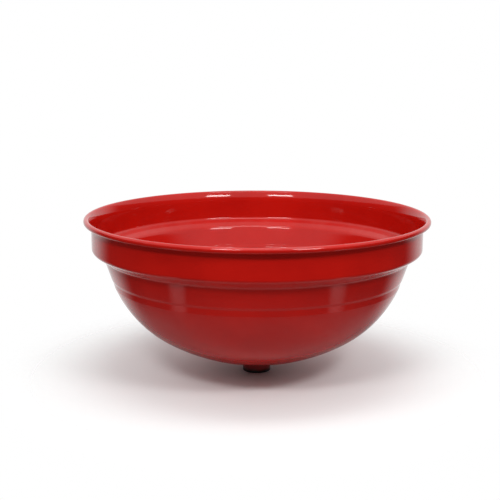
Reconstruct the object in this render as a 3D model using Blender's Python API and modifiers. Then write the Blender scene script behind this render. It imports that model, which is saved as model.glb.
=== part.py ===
"""Oil drain pan: a spun steel bowl with a wired rim, a screwed outlet with a plug, and a lift-out strainer.

Metres, +Z up. The origin is on the bowl's axis, on the flat underside of the lock nut that it stands on.
Every piece is turned about that axis. Bodies: the bowl with its outlet, the plug, and the strainer.
"""
import math

import bpy

MM = 0.001

# Clearances
GAP = 0.3 * MM               # left between two pieces that touch
HOLE_CLEARANCE = 0.4 * MM    # a hole's radius over that of the shank which passes through it

# Bowl: spun sheet, sizes on its outer face
SHEET = 1.0 * MM
RIM_RADIUS = 220.2 * MM      # to the outside of the rolled bead
BEAD_RADIUS = 3.5 * MM       # the rolled bead's own radius, sheet included
BEAD_OVERHANG = 9.5 * MM     # how far the bead stands out past the collar
FLARE_RADIUS = 25.5 * MM     # the collar's outward sweep up to the bead
BEAD_OPENING = 30.0          # degrees left open between the curl's free edge and the flare
COLLAR_HEIGHT = 36.9 * MM    # shoulder corner to the bead's middle
COLLAR_FILLET = 5.5 * MM
SHOULDER_WIDTH = 15.0 * MM
SHOULDER_SLOPE = 33.7        # degrees below level, inwards
SHOULDER_FILLET = 6.3 * MM
WALL_HEIGHT = 25.2 * MM
WALL_TAPER = 18.8            # degrees from upright
RIB_STEP = 1.8 * MM          # how far the rib steps in under the wall
RIB_STEP_HEIGHT = 3.4 * MM
RIB_LAND = 7.6 * MM
RIB_TAPER = 15.0             # degrees from upright
RIB_FILLET = 1.8 * MM
DISH_MOUTH_ANGLE = 66.7      # degrees from level where the dish starts under the rib
DISH_LEAD = 2.2 * MM         # straight run from the rib into the dish
CROWN_TO_MOUTH = 1.318       # a dished head's two radii are set by the radius of its mouth
KNUCKLE_TO_MOUTH = 0.788
SEAT_MARGIN = 2.0 * MM       # flat pressed at the dish's middle, round the outlet's flange

# Outlet: flanged spigot clamped through the bowl by the lock nut, closed by a plug from below
SHANK_RADIUS = 13.2 * MM
NUT_WALL = 4.45 * MM
NUT_HEIGHT = 15.9 * MM
NUT_EDGE = 1.2 * MM
PIN_HOLE_RADIUS = 1.2 * MM
PIN_HOLE_DEPTH = 4.0 * MM
PIN_HOLES = 4
CLAMP_WASHER = 1.3 * MM
CLAMP_WASHER_INSET = 0.6 * MM
GASKET = 1.5 * MM
FLANGE = 2.5 * MM
FLANGE_WIDTH = 8.8 * MM
FLANGE_EDGE = 0.8 * MM
PLUG_RADIUS = 8.7 * MM
PLUG_LENGTH = 10.0 * MM
PLUG_HEAD = 3.0 * MM
PLUG_HEAD_CLEARANCE = 1.3 * MM
PLUG_RECESS = 0.4 * MM       # the plug's face lies this far inside the foot
PLUG_SEAL = 1.2 * MM
HEX_SOCKET = 10.0 * MM       # across flats
HEX_SOCKET_DEPTH = 7.0 * MM

# Strainer: perforated plate with a skirt, and its knob
STRAINER_RADIUS = 70.0 * MM
STRAINER_HEIGHT = 7.0 * MM
STRAINER_FILLET = 2.5 * MM
PLATE = 1.2 * MM
HOLE_RADIUS = 3.5 * MM
HOLE_PITCH = 14.0 * MM
HOLE_MARGIN = 5.0 * MM       # solid plate kept inside the skirt and round the knob
KNOB_RADIUS = 13.0 * MM
KNOB_HEIGHT = 22.0 * MM
KNOB_FOOT_RADIUS = 9.0 * MM
KNOB_WAIST_RADIUS = 7.0 * MM
SCREW_RADIUS = 2.5 * MM
SCREW_DEPTH = 12.0 * MM      # how far the screw goes into the knob
SCREW_HEAD_RADIUS = 4.5 * MM
SCREW_HEAD = 2.8 * MM
SCREW_SLOT = 1.2 * MM
SCREW_SLOT_DEPTH = 1.3 * MM
KNOB_WASHER = 1.0 * MM
KNOB_WASHER_RADIUS = 6.0 * MM

# Facets round each turned piece
BOWL_STEPS = 48
FITTING_STEPS = 30
KNOB_STEPS = 20
SCREW_STEPS = 16


def tan(degrees):
    return math.tan(math.radians(degrees))


def arc(centre, radius, start, end, count):
    """Points of an arc from start to end degrees, both ends included."""
    points = []
    for step in range(count + 1):
        angle = math.radians(start + (end - start) * step / count)
        points.append((centre[0] + radius * math.cos(angle), centre[1] + radius * math.sin(angle)))
    return points


def rounded(corner_points, count=3):
    """An open outline through (radius, height, fillet) corners, each fillet an arc of count segments."""
    outline = [corner_points[0][:2]]
    for before, corner, after in zip(corner_points, corner_points[1:], corner_points[2:]):
        into = (corner[0] - before[0], corner[1] - before[1])
        out = (after[0] - corner[0], after[1] - corner[1])
        turn = math.atan2(into[0] * out[1] - into[1] * out[0], into[0] * out[0] + into[1] * out[1])
        fillet = corner[2]
        if fillet == 0.0:
            outline.append(corner[:2])
            continue
        trim = fillet * math.tan(abs(turn) / 2)
        length = math.hypot(*into)
        side = math.copysign(1.0, turn)
        start = (corner[0] - into[0] / length * trim, corner[1] - into[1] / length * trim)
        centre = (start[0] - side * into[1] / length * fillet, start[1] + side * into[0] / length * fillet)
        first = math.degrees(math.atan2(start[1] - centre[1], start[0] - centre[0]))
        outline += arc(centre, fillet, first, first + math.degrees(turn), count)
    outline.append(corner_points[-1][:2])
    return outline


def material(name, colour, roughness, metallic):
    made = bpy.data.materials.new(name)
    made.use_nodes = True
    shader = made.node_tree.nodes["Principled BSDF"]
    shader.inputs["Base Color"].default_value = (*colour, 1.0)
    shader.inputs["Roughness"].default_value = roughness
    shader.inputs["Metallic"].default_value = metallic
    made.diffuse_color = (*colour, 1.0)
    return made


def turned(name, outline, steps, closed, finish, parent=None):
    """A turned piece: its outline runs down the outer side, and a closed one comes back up its bore."""
    mesh = bpy.data.meshes.new(name)
    edges = [(index, index + 1) for index in range(len(outline) - 1)]
    if closed:
        edges.append((len(outline) - 1, 0))
    mesh.from_pydata([(radius, 0.0, height) for radius, height in outline], edges, [])
    piece = bpy.data.objects.new(name, mesh)
    parts.objects.link(piece)
    mesh.materials.append(finish)
    piece.parent = parent
    screw = piece.modifiers.new("turn", "SCREW")
    screw.steps = steps
    screw.render_steps = steps
    screw.use_merge_vertices = True
    screw.merge_threshold = 0.00001
    screw.use_smooth_shade = True
    return piece


def cutter(name, vertices, radius, depth, location, parent=None):
    """An upright prism or round cutter, centred on its location."""
    bpy.ops.mesh.primitive_cylinder_add(vertices=vertices, radius=radius, depth=depth, location=location)
    made = bpy.context.object
    made.name = name
    hide_cutter(made, parent)
    return made


def hide_cutter(made, parent=None):
    for holder in list(made.users_collection):
        holder.objects.unlink(made)
    cutters.objects.link(made)
    made.parent = parent
    made.hide_render = True
    made.display_type = "WIRE"


def cut(piece, tool):
    boolean = piece.modifiers.new("cut " + tool.name, "BOOLEAN")
    boolean.operation = "DIFFERENCE"
    boolean.solver = "EXACT"
    boolean.object = tool


def body_empty(name, height):
    """Parent of a moving body, on its joint's axis."""
    made = bpy.data.objects.new(name, None)
    made.location = (0.0, 0.0, height)
    made.empty_display_size = 0.02
    parts.objects.link(made)
    return made


# Heights of the outlet's stack, from the foot up
washer_bottom = NUT_HEIGHT + GAP
seat_height = washer_bottom + CLAMP_WASHER + GAP
gasket_bottom = seat_height + SHEET + GAP
flange_bottom = gasket_bottom + GASKET + GAP
flange_top = flange_bottom + FLANGE
hole_radius = SHANK_RADIUS + HOLE_CLEARANCE
nut_bore_radius = SHANK_RADIUS + GAP
nut_radius = nut_bore_radius + NUT_WALL
flange_radius = SHANK_RADIUS + FLANGE_WIDTH
seat_radius = flange_radius + SEAT_MARGIN

# The bowl's radii, from the rim in
bead_centre_radius = RIM_RADIUS - BEAD_RADIUS
collar_radius = RIM_RADIUS - BEAD_OVERHANG
wall_top_radius = collar_radius - SHOULDER_WIDTH
wall_end_radius = wall_top_radius - WALL_HEIGHT * tan(WALL_TAPER)
land_top_radius = wall_end_radius - RIB_STEP
land_end_radius = land_top_radius - RIB_LAND * tan(RIB_TAPER)
mouth_radius = land_end_radius - DISH_LEAD * math.cos(math.radians(DISH_MOUTH_ANGLE))

# The dish: a crown arc round the middle and a tighter knuckle arc up to its mouth, tangent to each other
crown_radius = CROWN_TO_MOUTH * mouth_radius
knuckle_radius = KNUCKLE_TO_MOUTH * mouth_radius
knuckle_centre_radius = mouth_radius - knuckle_radius * math.sin(math.radians(DISH_MOUTH_ANGLE))
tangent_angle = math.degrees(math.asin(knuckle_centre_radius / (crown_radius - knuckle_radius)))
seat_angle = math.degrees(math.asin(seat_radius / crown_radius))
crown_centre_height = seat_height + crown_radius * math.cos(math.radians(seat_angle))
knuckle_centre_height = (crown_centre_height
                         - (crown_radius - knuckle_radius) * math.cos(math.radians(tangent_angle)))
mouth_height = knuckle_centre_height - knuckle_radius * math.cos(math.radians(DISH_MOUTH_ANGLE))

# The bowl's heights, from the dish up
land_end_height = mouth_height + DISH_LEAD * math.sin(math.radians(DISH_MOUTH_ANGLE))
land_top_height = land_end_height + RIB_LAND
wall_end_height = land_top_height + RIB_STEP_HEIGHT
wall_top_height = wall_end_height + WALL_HEIGHT
corner_height = wall_top_height + SHOULDER_WIDTH * tan(SHOULDER_SLOPE)
bead_height = corner_height + COLLAR_HEIGHT

# The flare's arc meets the curl's inner face where both point the same way
curl_radius = BEAD_RADIUS - SHEET
flare_angle = math.degrees(math.acos((collar_radius + FLARE_RADIUS - bead_centre_radius)
                                     / (FLARE_RADIUS - curl_radius)))
flare_start_height = bead_height - (FLARE_RADIUS - curl_radius) * math.sin(math.radians(flare_angle))

curl = arc((bead_centre_radius, bead_height), curl_radius, -180.0 + BEAD_OPENING, 0.0, 5)
curl += arc((bead_centre_radius, bead_height), curl_radius, 0.0, 180.0 - flare_angle, 5)[1:]
flare = arc((collar_radius + FLARE_RADIUS, flare_start_height), FLARE_RADIUS,
            180.0 - flare_angle, 180.0, 4)[1:]
walls = rounded([
    (collar_radius, flare_start_height, 0.0),
    (collar_radius, corner_height, COLLAR_FILLET),
    (wall_top_radius, wall_top_height, SHOULDER_FILLET),
    (wall_end_radius, wall_end_height, RIB_FILLET),
    (land_top_radius, land_top_height, RIB_FILLET),
    (land_end_radius, land_end_height, RIB_FILLET),
    (mouth_radius, mouth_height, 0.0),
])[1:-1]
knuckle = arc((knuckle_centre_radius, knuckle_centre_height), knuckle_radius,
              DISH_MOUTH_ANGLE - 90.0, tangent_angle - 90.0, 5)
crown = arc((0.0, crown_centre_height), crown_radius, tangent_angle - 90.0, seat_angle - 90.0, 6)[1:]
bowl_outline = curl + flare + walls + knuckle + crown + [(hole_radius, seat_height)]


def floor_height(radius):
    """Height of the dish's inner face at a radius, on the straight runs between the outline's points."""
    for outer, inner in zip(bowl_outline, bowl_outline[1:]):
        if inner[0] <= radius <= outer[0] and outer[1] <= mouth_height:
            slope = (outer[1] - inner[1]) / (outer[0] - inner[0])
            return inner[1] + (radius - inner[0]) * slope + SHEET * math.hypot(1.0, slope)
    return seat_height + SHEET


for old in list(bpy.data.objects):
    bpy.data.objects.remove(old)
parts = bpy.data.collections.new("oil_drain_pan")
cutters = bpy.data.collections.new("cutters")
bpy.context.scene.collection.children.link(parts)
bpy.context.scene.collection.children.link(cutters)

# Bowl: one spun sheet, its rim curled outwards and down, and a hole in the flat at the bottom
red_paint = material("red_paint", (0.45, 0.012, 0.008), 0.22, 0.0)
bowl = turned("bowl_shell", bowl_outline, BOWL_STEPS, False, red_paint)
thickness = bowl.modifiers.new("sheet", "SOLIDIFY")
thickness.thickness = SHEET
thickness.offset = -1.0

# Rim wire: a ring that the curl is rolled around
wire_radius = curl_radius - GAP
wire_section = arc((bead_centre_radius, bead_height), wire_radius, 0.0, -360.0, 8)[:-1]
bright_steel = material("bright_steel", (0.55, 0.55, 0.56), 0.35, 1.0)
turned("rim_wire", wire_section, BOWL_STEPS, True, bright_steel)

# Spigot: its flange lies on the gasket inside the bowl, and its threaded shank goes down through the nut
plug_head_top = PLUG_RECESS + PLUG_HEAD
seal_bottom = plug_head_top + GAP
shank_end = seal_bottom + PLUG_SEAL + GAP
bore_radius = PLUG_RADIUS + GAP
zinc_steel = material("zinc_steel", (0.50, 0.51, 0.50), 0.38, 1.0)
spigot_outline = rounded([
    (bore_radius, flange_top, 0.0),
    (flange_radius, flange_top, FLANGE_EDGE),
    (flange_radius, flange_bottom, 0.0),
    (SHANK_RADIUS, flange_bottom, 0.0),
    (SHANK_RADIUS, shank_end, 0.0),
    (bore_radius, shank_end, 0.0),
], 2)
turned("drain_spigot", spigot_outline, FITTING_STEPS, True, zinc_steel)

# Gasket: flat rubber ring between the flange and the bowl's floor
black_rubber = material("black_rubber", (0.02, 0.02, 0.02), 0.6, 0.0)
turned("flange_gasket", [
    (hole_radius, gasket_bottom + GASKET),
    (flange_radius, gasket_bottom + GASKET),
    (flange_radius, gasket_bottom),
    (hole_radius, gasket_bottom),
], FITTING_STEPS, True, black_rubber)

# Clamp washer: fibre ring between the bowl's underside and the nut
fibre = material("vulcanised_fibre", (0.10, 0.03, 0.02), 0.7, 0.0)
turned("clamp_washer", [
    (hole_radius, washer_bottom + CLAMP_WASHER),
    (nut_radius - CLAMP_WASHER_INSET, washer_bottom + CLAMP_WASHER),
    (nut_radius - CLAMP_WASHER_INSET, washer_bottom),
    (hole_radius, washer_bottom),
], FITTING_STEPS, True, fibre)

# Lock nut: round, with pin-spanner holes in the face that the bowl stands on
black_steel = material("black_steel", (0.012, 0.012, 0.013), 0.25, 0.0)
nut = turned("lock_nut", rounded([
    (nut_bore_radius, NUT_HEIGHT, 0.0),
    (nut_radius, NUT_HEIGHT, NUT_EDGE / 2),
    (nut_radius, 0.0, NUT_EDGE),
    (nut_bore_radius, 0.0, 0.0),
], 3), FITTING_STEPS, True, black_steel)
pin_circle = nut_bore_radius + NUT_WALL / 2
for index in range(PIN_HOLES):
    azimuth = 2 * math.pi * (index + 0.5) / PIN_HOLES
    pin_place = (pin_circle * math.cos(azimuth), pin_circle * math.sin(azimuth), 0.0)
    cut(nut, cutter(f"pin_hole_{index}", 10, PIN_HOLE_RADIUS, 2 * PIN_HOLE_DEPTH, pin_place))

# Plug: screws up into the spigot, its head flush inside the nut, turned by a hexagon key from below
plug_axis = body_empty("plug_axis", 0.0)
plug_head_radius = nut_bore_radius - PLUG_HEAD_CLEARANCE
plug = turned("drain_plug", rounded([
    (0.0, plug_head_top + PLUG_LENGTH, 0.0),
    (PLUG_RADIUS, plug_head_top + PLUG_LENGTH, 0.6 * MM),
    (PLUG_RADIUS, plug_head_top, 0.0),
    (plug_head_radius, plug_head_top, 0.0),
    (plug_head_radius, PLUG_RECESS, 0.5 * MM),
    (0.0, PLUG_RECESS, 0.0),
], 2), FITTING_STEPS, False, zinc_steel, plug_axis)
hex_corner_radius = HEX_SOCKET / 2 / math.cos(math.pi / 6)
cut(plug, cutter("hex_socket", 6, hex_corner_radius, 2 * HEX_SOCKET_DEPTH, (0.0, 0.0, PLUG_RECESS), plug_axis))

# Plug seal: flat ring nipped between the plug's head and the end of the spigot
turned("plug_seal", [
    (PLUG_RADIUS + GAP, seal_bottom + PLUG_SEAL),
    (plug_head_radius, seal_bottom + PLUG_SEAL),
    (plug_head_radius, seal_bottom),
    (PLUG_RADIUS + GAP, seal_bottom),
], FITTING_STEPS, True, black_rubber, plug_axis)

# Strainer plate: stands on its skirt in the dish, and lifts out by the knob
skirt_slope = (floor_height(STRAINER_RADIUS) - floor_height(STRAINER_RADIUS - PLATE)) / PLATE
strainer_seat = floor_height(STRAINER_RADIUS) + GAP * math.hypot(1.0, skirt_slope)
strainer_axis = body_empty("strainer_axis", strainer_seat)
screw_hole_radius = SCREW_RADIUS + GAP
plate_underside = STRAINER_HEIGHT - PLATE
strainer = turned("strainer_plate", rounded([
    (screw_hole_radius, STRAINER_HEIGHT, 0.0),
    (STRAINER_RADIUS, STRAINER_HEIGHT, STRAINER_FILLET),
    (STRAINER_RADIUS, 0.0, 0.0),
    (STRAINER_RADIUS - PLATE, 0.0, 0.0),
    (STRAINER_RADIUS - PLATE, plate_underside, STRAINER_FILLET - PLATE),
    (screw_hole_radius, plate_underside, 0.0),
], 2), BOWL_STEPS, True, zinc_steel, strainer_axis)
rows = int(STRAINER_RADIUS / HOLE_PITCH) + 1
inner_limit = KNOB_FOOT_RADIUS + HOLE_MARGIN + HOLE_RADIUS
outer_limit = STRAINER_RADIUS - STRAINER_FILLET - HOLE_MARGIN - HOLE_RADIUS
drills = []
for row in range(-rows, rows + 1):
    for column in range(-rows, rows + 1):
        across = (column + row / 2) * HOLE_PITCH
        along = row * HOLE_PITCH * math.sin(math.pi / 3)
        if inner_limit <= math.hypot(across, along) <= outer_limit:
            bpy.ops.mesh.primitive_cylinder_add(vertices=10, radius=HOLE_RADIUS, depth=4 * PLATE,
                                                location=(across, along, STRAINER_HEIGHT - PLATE / 2))
            drills.append(bpy.context.object)
with bpy.context.temp_override(active_object=drills[0], selected_editable_objects=drills):
    bpy.ops.object.join()
drill = drills[0]
drill.name = "strainer_holes"
hide_cutter(drill, strainer_axis)
cut(strainer, drill)

# Knob: turned, with a blind hole for its screw
knob_bottom = STRAINER_HEIGHT + GAP
black_plastic = material("black_plastic", (0.02, 0.02, 0.022), 0.4, 0.0)
turned("lift_knob", rounded([
    (0.0, knob_bottom + KNOB_HEIGHT, 0.0),
    (KNOB_RADIUS, knob_bottom + KNOB_HEIGHT, 0.25 * KNOB_HEIGHT),
    (KNOB_RADIUS, knob_bottom + 0.55 * KNOB_HEIGHT, 0.12 * KNOB_HEIGHT),
    (KNOB_WAIST_RADIUS, knob_bottom + 0.35 * KNOB_HEIGHT, 0.0),
    (KNOB_FOOT_RADIUS, knob_bottom, 0.0),
    (SCREW_RADIUS + GAP, knob_bottom, 0.0),
    (SCREW_RADIUS + GAP, knob_bottom + SCREW_DEPTH + GAP, 0.0),
    (0.0, knob_bottom + SCREW_DEPTH + GAP, 0.0),
], 4), KNOB_STEPS, False, black_plastic, strainer_axis)

# Washer and screw under the plate
knob_washer_top = plate_underside - GAP
turned("knob_washer", [
    (screw_hole_radius, knob_washer_top),
    (KNOB_WASHER_RADIUS, knob_washer_top),
    (KNOB_WASHER_RADIUS, knob_washer_top - KNOB_WASHER),
    (screw_hole_radius, knob_washer_top - KNOB_WASHER),
], KNOB_STEPS, True, zinc_steel, strainer_axis)
screw_head_top = knob_washer_top - KNOB_WASHER - GAP
screw = turned("knob_screw", rounded([
    (0.0, knob_bottom + SCREW_DEPTH, 0.0),
    (SCREW_RADIUS, knob_bottom + SCREW_DEPTH, 0.4 * MM),
    (SCREW_RADIUS, screw_head_top, 0.0),
    (SCREW_HEAD_RADIUS, screw_head_top, 0.0),
    (SCREW_HEAD_RADIUS, screw_head_top - SCREW_HEAD, 0.5 * SCREW_HEAD),
    (0.0, screw_head_top - SCREW_HEAD, 0.0),
], 3), SCREW_STEPS, False, zinc_steel, strainer_axis)
bpy.ops.mesh.primitive_cube_add(size=1.0, location=(0.0, 0.0, screw_head_top - SCREW_HEAD))
slot = bpy.context.object
slot.name = "screw_slot"
slot.scale = (4 * SCREW_HEAD_RADIUS, SCREW_SLOT, 2 * SCREW_SLOT_DEPTH)
hide_cutter(slot, strainer_axis)
cut(screw, slot)
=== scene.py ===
"""Looks of the oil drain pan: a red enamelled spun bowl, its screwed outlet and a lift-out strainer.

Metres, +Z up, in the CAD part's own frame: the origin is under the middle of the nut that the bowl
stands on.
"""

import math

import bmesh
import bpy
from mathutils import Matrix, Vector


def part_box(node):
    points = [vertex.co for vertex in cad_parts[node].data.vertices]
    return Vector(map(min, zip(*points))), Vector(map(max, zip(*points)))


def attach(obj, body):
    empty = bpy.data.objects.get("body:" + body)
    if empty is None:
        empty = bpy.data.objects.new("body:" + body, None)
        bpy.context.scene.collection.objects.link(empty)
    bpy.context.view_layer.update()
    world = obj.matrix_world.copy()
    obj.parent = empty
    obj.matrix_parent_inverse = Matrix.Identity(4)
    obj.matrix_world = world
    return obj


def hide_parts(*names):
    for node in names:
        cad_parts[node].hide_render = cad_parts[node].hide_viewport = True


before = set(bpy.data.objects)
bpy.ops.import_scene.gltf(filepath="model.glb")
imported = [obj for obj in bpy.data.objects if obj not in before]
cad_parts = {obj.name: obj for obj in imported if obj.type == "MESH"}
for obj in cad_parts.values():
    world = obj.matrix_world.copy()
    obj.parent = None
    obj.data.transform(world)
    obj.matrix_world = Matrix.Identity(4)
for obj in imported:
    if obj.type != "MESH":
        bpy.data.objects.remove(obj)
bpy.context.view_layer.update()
MM = 0.001


# --------------------------------------------------------------------------------------------------
# Stage. A pale round floor that fades out and shows grey to reflected rays, as painted shade, with two grey
# cards on it that show only in the enamel; a white room, dim in front and lit from the table below; two
# soft boxes in front and one overhead; and the camera, about eleven degrees above level.
def node(tree, kind, inputs=None, **settings):
    """Adds a node with its settings, and fills its inputs from values or from other nodes' outputs."""
    made = tree.nodes.new(kind)
    made.location = (190 * (len(tree.nodes) % 10), -230 * (len(tree.nodes) // 10))
    for name, value in settings.items():
        setattr(made, name, value)
    for socket, value in (inputs or {}).items():
        if isinstance(value, bpy.types.NodeSocket):
            tree.links.new(value, made.inputs[socket])
        else:
            made.inputs[socket].default_value = value
    return made


def calc(tree, operation, *values):
    """The result of a math node on up to three values."""
    return node(tree, "ShaderNodeMath", dict(enumerate(values)), operation=operation).outputs[0]


def vector_calc(tree, operation, *values):
    """The result of a vector math node: a number for LENGTH, otherwise a vector."""
    made = node(tree, "ShaderNodeVectorMath", dict(enumerate(values)), operation=operation)
    return made.outputs["Value" if operation == "LENGTH" else "Vector"]


def noise(tree, place, scale, detail, roughness=0.5):
    """Layered noise at a place, with about scale bumps to a metre."""
    inputs = {"Vector": place, "Scale": scale, "Detail": detail, "Roughness": roughness}
    return node(tree, "ShaderNodeTexNoise", inputs).outputs["Fac"]


def smooth_step(tree, value, low, high, to_low=0.0, to_high=1.0):
    """Eases a value from to_low to to_high as it goes from low to high."""
    inputs = {"Value": value, "From Min": low, "From Max": high, "To Min": to_low, "To Max": to_high}
    return node(tree, "ShaderNodeMapRange", inputs, interpolation_type="SMOOTHSTEP").outputs["Result"]


def blended(tree, factor, first, second):
    """A colour mixed from first to second by factor."""
    mixed = node(tree, "ShaderNodeMix", {"Factor": factor, "A": first, "B": second}, data_type="RGBA")
    return mixed.outputs["Result"]


def new_material(name):
    """A material, its node tree and its shader."""
    made = bpy.data.materials.new(name)
    made.use_nodes = True
    return made, made.node_tree, made.node_tree.nodes["Principled BSDF"]


FLOOR_RADIUS = 0.60
FLOOR_FADE = (0.17, 0.36)
MIRRORED_GREY = (0.36, 0.36, 0.36, 1)
CARD_GREY = (0.50, 0.50, 0.50, 1)
CARD_FIRST_EDGE = (2.12, 2.27)
CARD_LAST_EDGE = (2.33, 2.44)
CARD_NEAR_EDGE = (0.20, 0.29)
CARD_FAR_EDGE = (0.34, 0.36)
floor_mesh = bpy.data.meshes.new("studio_floor")
floor_build = bmesh.new()
bmesh.ops.create_circle(floor_build, cap_ends=True, segments=96, radius=FLOOR_RADIUS)
floor_build.to_mesh(floor_mesh)
floor_build.free()
floor = bpy.data.objects.new("studio_floor", floor_mesh)
bpy.context.scene.collection.objects.link(floor)
floor_paper, tree, shader = new_material("floor_paper")
shader.inputs["Roughness"].default_value = 0.9
place = node(tree, "ShaderNodeTexCoord").outputs["Object"]
grain = noise(tree, place, scale=900.0, detail=3.0)
paper = blended(tree, grain, (0.78, 0.78, 0.78, 1), (0.82, 0.82, 0.82, 1))
mirrored = node(tree, "ShaderNodeLightPath").outputs["Is Glossy Ray"]
axes = node(tree, "ShaderNodeSeparateXYZ", {0: place}).outputs
bearing = calc(tree, "ABSOLUTE", calc(tree, "ARCTAN2", axes["X"], axes["Y"]))
reach = vector_calc(tree, "LENGTH", place)
card = smooth_step(tree, bearing, *CARD_FIRST_EDGE)
card = calc(tree, "MULTIPLY", card, smooth_step(tree, bearing, *CARD_LAST_EDGE, 1.0, 0.0))
card = calc(tree, "MULTIPLY", card, smooth_step(tree, reach, *CARD_NEAR_EDGE))
card = calc(tree, "MULTIPLY", card, mirrored)
# For reflected rays the paper turns grey: painted shade on the floor, seen only in the enamel.
muted = blended(tree, mirrored, paper, MIRRORED_GREY)
tree.links.new(blended(tree, card, muted, CARD_GREY), shader.inputs["Base Color"])
card_cover = calc(tree, "MULTIPLY", card, smooth_step(tree, reach, *CARD_FAR_EDGE, 1.0, 0.0))
cover = calc(tree, "MAXIMUM", smooth_step(tree, reach, *FLOOR_FADE, 1.0, 0.0), card_cover)
from_above = calc(tree, "SUBTRACT", 1.0, node(tree, "ShaderNodeNewGeometry").outputs["Backfacing"])
tree.links.new(calc(tree, "MULTIPLY", cover, from_above), shader.inputs["Alpha"])
floor_mesh.materials.append(floor_paper)

ROOM_LIGHT = 0.86
ROOM_DIM = 0.05
TABLE_LIGHT = 0.66
TABLE_EDGE = (-0.28, -0.46)
BACK_WALL_EDGE = (0.45, 0.80)
CEILING_EDGE = (0.32, 0.40)
world = bpy.data.worlds.new("studio")
bpy.context.scene.world = world
world.use_nodes = True
tree = world.node_tree
direction = node(tree, "ShaderNodeTexCoord").outputs["Generated"]
axes = node(tree, "ShaderNodeSeparateXYZ", {0: direction}).outputs
rays = node(tree, "ShaderNodeLightPath").outputs
not_mirrored = calc(tree, "SUBTRACT", 1.0, rays["Is Glossy Ray"])
below = smooth_step(tree, axes["Z"], *TABLE_EDGE, 0.0, TABLE_LIGHT)
table = calc(tree, "MULTIPLY", not_mirrored, below)
behind = smooth_step(tree, axes["Y"], *BACK_WALL_EDGE)
above = smooth_step(tree, axes["Z"], *CEILING_EDGE)
brightest = calc(tree, "MAXIMUM", calc(tree, "MAXIMUM", behind, above), table)
room = calc(tree, "MULTIPLY_ADD", brightest, ROOM_LIGHT, ROOM_DIM)
strength = node(tree, "ShaderNodeMix", {"Factor": rays["Is Camera Ray"], "A": room, "B": 1.0})
background = tree.nodes["Background"]
background.inputs["Color"].default_value = (1.0, 1.0, 1.0, 1.0)
tree.links.new(strength.outputs["Result"], background.inputs["Strength"])

LIGHT_AIM = Vector((0.0, 0.0, 0.12))


def soft_box(name, place, width, height, power):
    """A rectangular soft light that faces the bowl, its sides in metres and its power in watts."""
    lamp = bpy.data.lights.new(name, "AREA")
    lamp.shape = "RECTANGLE"
    lamp.size = width
    lamp.size_y = height
    lamp.energy = power
    holder = bpy.data.objects.new(name, lamp)
    holder.location = place
    holder.rotation_euler = (LIGHT_AIM - holder.location).to_track_quat("-Z", "Y").to_euler()
    bpy.context.scene.collection.objects.link(holder)


soft_box("soft_box_left", (-0.44, -1.18, 1.15), width=0.46, height=0.22, power=8.4)
soft_box("soft_box_right", (0.72, -1.07, 1.15), width=0.46, height=0.22, power=8.4)
soft_box("soft_box_above", (0.06, -0.32, 1.62), width=1.00, height=0.30, power=6.0)

CAMERA_DISTANCE = 1.3695
CAMERA_ELEVATION = math.radians(11.43)
CAMERA_ROLL = math.radians(0.116)
camera_target = Vector((-9.0 * MM, 0.0, 160.2 * MM))
camera_data = bpy.data.cameras.new("camera")
camera_data.sensor_width = 36.0
camera_data.lens = 76.5
camera = bpy.data.objects.new("camera", camera_data)
camera_direction = Vector((0.0, -math.cos(CAMERA_ELEVATION), math.sin(CAMERA_ELEVATION)))
camera.location = camera_target + CAMERA_DISTANCE * camera_direction
camera_tilt = Matrix.Rotation(math.pi / 2 - CAMERA_ELEVATION, 3, "X")
camera.rotation_euler = (camera_tilt @ Matrix.Rotation(CAMERA_ROLL, 3, "Z")).to_euler()
bpy.context.scene.collection.objects.link(camera)
bpy.context.scene.camera = camera
bpy.context.scene.view_settings.view_transform = "Standard"


# --------------------------------------------------------------------------------------------------
# bowl_shell. Spun mild steel sheet in red gloss enamel: rim curled outwards over a wire, flared collar,
# shoulder, tapered wall, small rib and a deep dish, with a hole in the flat at the bottom.
WELD_DISTANCE = 0.002 * MM


def arc(centre, radius, start, end, count):
    """Points of an arc from start to end degrees, both ends included."""
    points = []
    for step in range(count + 1):
        angle = math.radians(start + (end - start) * step / count)
        points.append((centre[0] + radius * math.cos(angle), centre[1] + radius * math.sin(angle)))
    return points


def rounded(corners, count=6):
    """A profile through (radius, height, fillet) corners, each fillet an arc of count segments."""
    profile = [corners[0][:2]]
    for before, corner, after in zip(corners, corners[1:], corners[2:]):
        into = Vector((corner[0] - before[0], corner[1] - before[1])).normalized()
        out = Vector((after[0] - corner[0], after[1] - corner[1])).normalized()
        turn = math.atan2(into.x * out.y - into.y * out.x, into.dot(out))
        fillet = corner[2]
        if fillet == 0.0:
            profile.append(corner[:2])
            continue
        start = Vector(corner[:2]) - into * fillet * math.tan(abs(turn) / 2)
        side = math.copysign(1.0, turn)
        centre = start + Vector((-into.y, into.x)) * fillet * side
        first = math.degrees(math.atan2(start.y - centre.y, start.x - centre.x))
        profile += arc(centre, fillet, first, first + math.degrees(turn), count)
    profile.append(corners[-1][:2])
    return profile


def spaced(profile, gap):
    """The same profile with points added so that none are further apart than gap."""
    points = [profile[0]]
    for before, after in zip(profile, profile[1:]):
        parts = max(1, math.ceil(math.dist(before, after) / gap))
        for part in range(1, parts + 1):
            share = part / parts
            points.append((before[0] + (after[0] - before[0]) * share,
                           before[1] + (after[1] - before[1]) * share))
    return points


def node_group(name, kind, inputs, outputs):
    """An empty node group; inputs and outputs give each socket's name and its type."""
    tree = bpy.data.node_groups.new(name, kind)
    for in_out, sockets in (("OUTPUT", outputs), ("INPUT", inputs)):
        for socket, socket_type in sockets.items():
            tree.interface.new_socket(socket, in_out=in_out, socket_type="NodeSocket" + socket_type)
    return tree


def finished(tree, geometry, finish):
    """Ends a geometry group: instances made real, in their finish, to the output."""
    real = node(tree, "GeometryNodeRealizeInstances", {"Geometry": geometry}).outputs[0]
    dressed = node(tree, "GeometryNodeSetMaterial", {"Geometry": real, "Material": finish}).outputs[0]
    node(tree, "NodeGroupOutput", {0: dressed})
    return tree


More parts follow.
